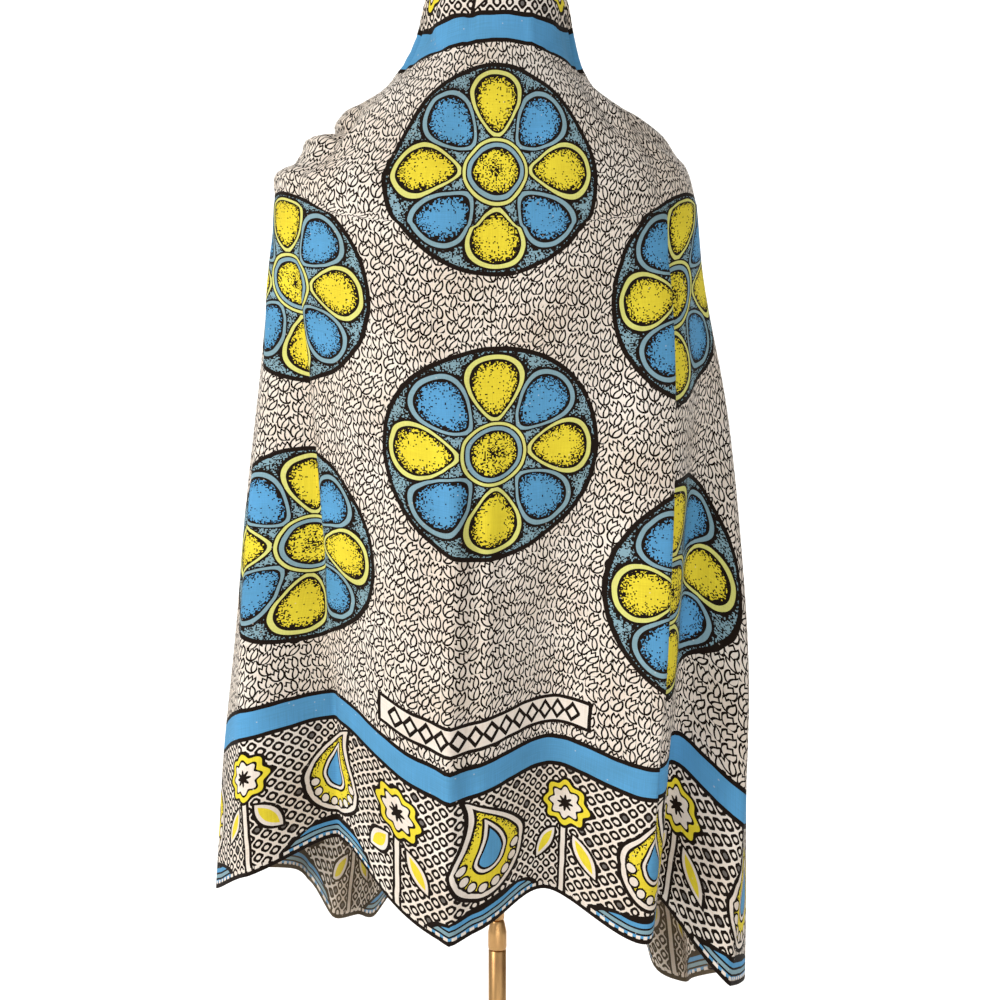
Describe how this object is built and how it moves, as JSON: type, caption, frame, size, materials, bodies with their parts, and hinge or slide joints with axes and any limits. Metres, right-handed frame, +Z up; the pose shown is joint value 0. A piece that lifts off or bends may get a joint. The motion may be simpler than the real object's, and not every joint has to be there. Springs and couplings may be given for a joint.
{
  "type": "printed wrap cloth on a limbless dress form",
  "caption": "Rectangular printed cotton wrap cloth worn as a cape with a standing collar and open front, on a smooth dress form with a pole and round base.",
  "frame": {"origin": "on the floor under the pole, at the middle of the base's underside", "axes": "+Z up along the pole; the back of the cape faces -Y, its open front faces +Y, and +X is the wearer's right"},
  "size_m": [0.5797, 0.4, 1.5523],
  "materials": {
    "printed_cotton": "matte plain-weave cotton, printed in black, blue and yellow",
    "linen": "matte natural linen",
    "wood": "satin varnish",
    "brass": "satin"
  },
  "bodies": {
    "root": {"cloth_collar": "printed_cotton", "cloth_back": "printed_cotton", "cloth_left_front": "printed_cotton", "cloth_right_front": "printed_cotton", "form_torso": "linen", "form_neck_cap": "wood", "form_plate": "wood", "stand_pole": "brass", "stand_collar": "brass", "stand_post": "brass", "stand_hub": "brass", "stand_base": "brass"}
  },
  "joints": []
}
